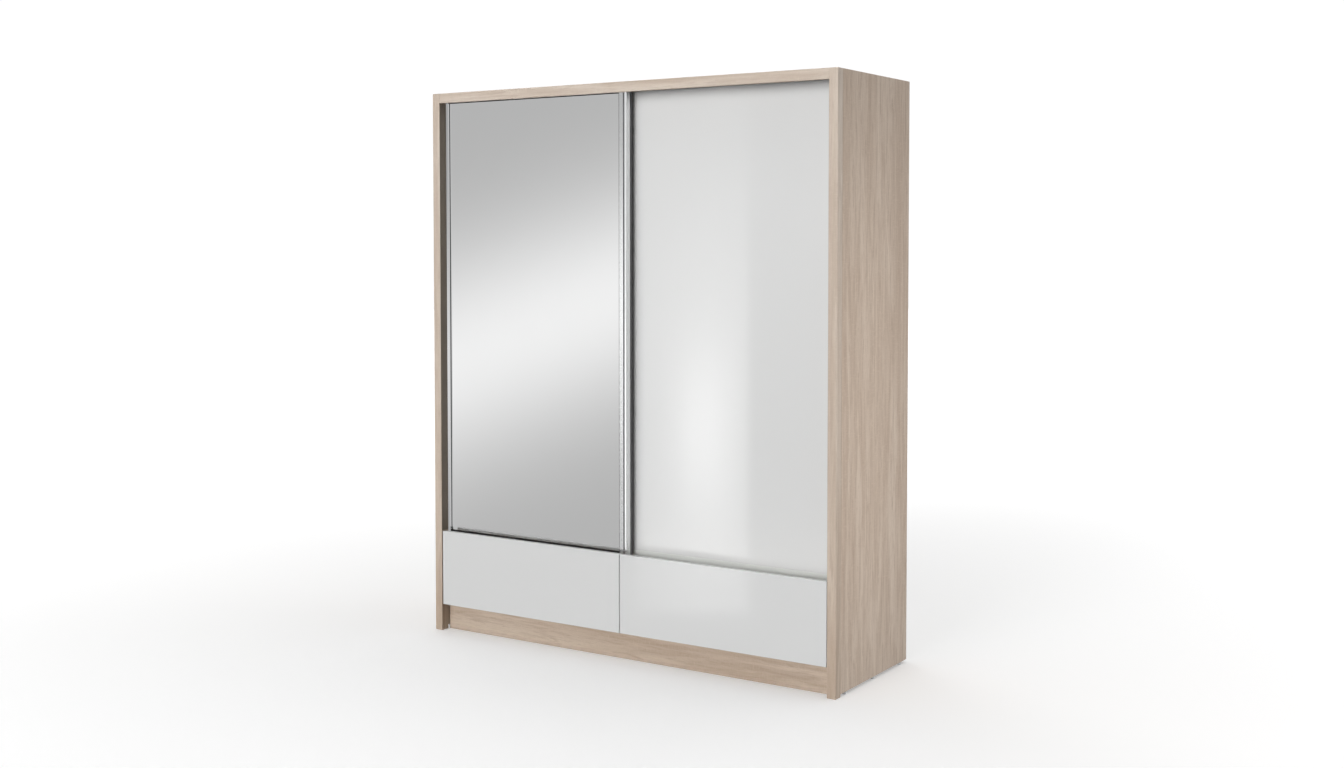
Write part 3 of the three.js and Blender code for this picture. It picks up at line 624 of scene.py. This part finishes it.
def studio_world():
    """A bright studio: soft light all round, and a banded wall with one softbox for reflections."""
    world = bpy.data.worlds.new("studio")
    bpy.context.scene.world = world
    world.use_nodes = True
    s = Graph(world.node_tree)
    s.tree.nodes.clear()
    direction = s.tree.nodes.new("ShaderNodeTexCoord").outputs["Generated"]
    x, y, z = s.node("ShaderNodeSeparateXYZ", Vector=direction).outputs
    degrees = 180 / math.pi
    elevation = s.math("MULTIPLY", s.math("ARCSINE", z), degrees)
    azimuth = s.math("MULTIPLY", s.math("ARCTAN2", x, s.math("MULTIPLY", y, -1.0)), degrees)

    def bell(value, middle, width):
        t = s.math("DIVIDE", s.math("SUBTRACT", value, middle), width)
        return s.math("EXPONENT", s.math("MULTIPLY", s.math("MULTIPLY", t, t), -1.0))

    def inside(value, low, high, edge):
        rise = s.spread(value, low - edge, low + edge)
        return s.math("MULTIPLY", rise, s.spread(value, high - edge, high + edge, 1.0, 0.0))

    # what shiny faces see: a wall with one bright band, brighter walls beside it, and a softbox
    band_height = s.math("MULTIPLY_ADD", s.math("ADD", azimuth, 38.0), BAND_SLOPE, BAND_MIDDLE)
    band = s.math("MULTIPLY", bell(elevation, band_height, BAND_WIDTH), BAND_LIGHT)
    wall = s.math("ADD", band, WALL_LIGHT)
    wall = s.math("ADD", wall, s.spread(elevation, 12.0, 45.0, 0.0, 0.5))
    beside = s.math("SUBTRACT", 1.0, inside(azimuth, -49.0, -20.0, 4.0))
    wall = s.math("MULTIPLY_ADD", beside, SIDE_WALL_LIGHT, wall)
    box = s.math("MULTIPLY", inside(azimuth, -34.2, -30.1, 0.12), inside(elevation, -13.5, 9.0, 0.15))
    glow = s.math("MULTIPLY", bell(elevation, -7.0, 11.0), SOFTBOX_LIGHT)
    falloff = s.math("MULTIPLY_ADD", bell(azimuth, -31.2, 2.0), 0.45, 0.55)
    core = s.math("MULTIPLY", bell(elevation, -6.9, 3.6), bell(azimuth, -31.8, 1.1))
    softbox = s.math("MULTIPLY_ADD", core, SOFTBOX_CORE, s.math("MULTIPLY", glow, falloff))
    reflected = s.math("MULTIPLY_ADD", box, softbox, wall)

    # what lights the object: an even base and broad soft panels
    lit = BASE_LIGHT
    for middle, width, lift, height, power in SOFT_PANELS:
        panel = s.math("MULTIPLY", bell(azimuth, middle, width), bell(elevation, lift, height))
        lit = s.math("MULTIPLY_ADD", panel, power, lit)
    lit = s.math("ADD", lit, s.spread(elevation, 40.0, 80.0, 0.0, TOP_LIGHT))

    path = s.tree.nodes.new("ShaderNodeLightPath").outputs
    seen = s.tree.nodes.new("ShaderNodeMix")
    direct = s.math("LESS_THAN", path["Diffuse Depth"], 0.5)
    shiny = s.math("MULTIPLY", path["Is Glossy Ray"], direct)
    for socket, value in ((0, shiny), (2, lit), (3, reflected)):
        s.put(seen.inputs[socket], value)
    final = s.tree.nodes.new("ShaderNodeMix")
    for socket, value in ((0, path["Is Camera Ray"]), (2, seen.outputs[0]), (3, BACKDROP)):
        s.put(final.inputs[socket], value)
    background = s.node("ShaderNodeBackground", Color=rgba(1, 1, 1), Strength=final.outputs[0])
    output = s.tree.nodes.new("ShaderNodeOutputWorld")
    s.tree.links.new(background.outputs[0], output.inputs[0])


# FLOOR_GLOW near the object and FAR_FLOOR_GLOW far away: painted light on the floor, weaker near the object
# as painted shade
FLOOR_RADIUS = 30.0
FLOOR_GLOW = 0.30
FAR_FLOOR_GLOW = 0.55
GLOW_SHIFT = (0.35, -0.45, 0.0)
BACKDROP = 1.02
BASE_LIGHT = 0.09
TOP_LIGHT = 1.3
SOFT_PANELS = (  # azimuth from the front and its spread, elevation and its spread, power
    (-3.0, 13.0, 4.0, 15.0, 14.8),
    (124.0, 19.0, 8.0, 35.0, 1.1),
    (-124.0, 22.0, 8.0, 35.0, 1.9),
    (180.0, 30.0, 8.0, 35.0, 1.3),
    (-180.0, 30.0, 8.0, 35.0, 1.3),
)
WALL_LIGHT = 0.49
SIDE_WALL_LIGHT = 0.30
BAND_LIGHT = 0.455
BAND_MIDDLE = -3.23
BAND_SLOPE = 0.381
BAND_WIDTH = 4.0
SOFTBOX_LIGHT = 2.35
SOFTBOX_CORE = 3.2

ground = floor()
studio_world()

# a tall narrow light beside the right panel, which leaves the floor alone
SIDE_FILL_POWER = 6.2
side_fill = area_light("side_fill", (1.9, -0.12, 0.95), (0.9, -0.12, 0.95), (0.25, 1.9), SIDE_FILL_POWER)
unlit = bpy.data.collections.new("away_from_side_fill")
unlit.objects.link(ground)
side_fill.light_linking.receiver_collection = unlit
unlit.collection_objects[0].light_linking.link_state = "EXCLUDE"

camera_data = bpy.data.cameras.new("camera")
camera_data.lens = 41.94
camera_data.sensor_width = 36.0
camera_data.shift_y = -0.06
camera_data.clip_end = 200.0
camera = bpy.data.objects.new("camera", camera_data)
bpy.context.scene.collection.objects.link(camera)
camera.location = (3.304, -5.031, 1.568)
camera.rotation_euler = (math.radians(90 - 2.304), 0.0, math.radians(32.914))
bpy.context.scene.camera = camera
bpy.context.scene.view_settings.view_transform = "Standard"
